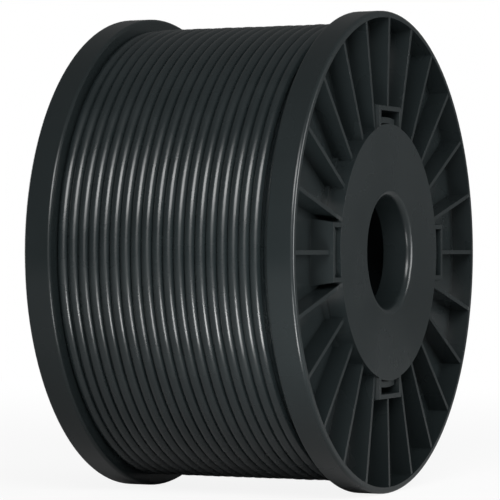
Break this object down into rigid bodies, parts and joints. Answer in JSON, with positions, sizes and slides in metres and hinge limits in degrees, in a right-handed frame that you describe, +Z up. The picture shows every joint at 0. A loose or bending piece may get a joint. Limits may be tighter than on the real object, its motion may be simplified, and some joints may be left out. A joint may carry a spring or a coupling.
{
  "type": "moulded plastic cable drum",
  "caption": "Round drum of moulded plastic with deeply ribbed flanges on a hollow barrel, fully wound with round black cable in close even turns.",
  "frame": {"origin": "centre of the drum, on its spin axis midway between the flanges", "axes": "+Y along the spin axis towards the back flange, +Z up as the drum lies on its two rims"},
  "size_m": [0.3, 0.1768, 0.3],
  "materials": {
    "drum_plastic": "satin black moulded polypropylene",
    "barrel_plastic": "satin black moulded polypropylene",
    "cable_jacket": "smooth glossy black PVC jacket"
  },
  "bodies": {
    "root": {"flange_front": "drum_plastic", "flange_back": "drum_plastic", "core_barrel": "barrel_plastic", "cable_winding": "cable_jacket"}
  },
  "joints": []
}
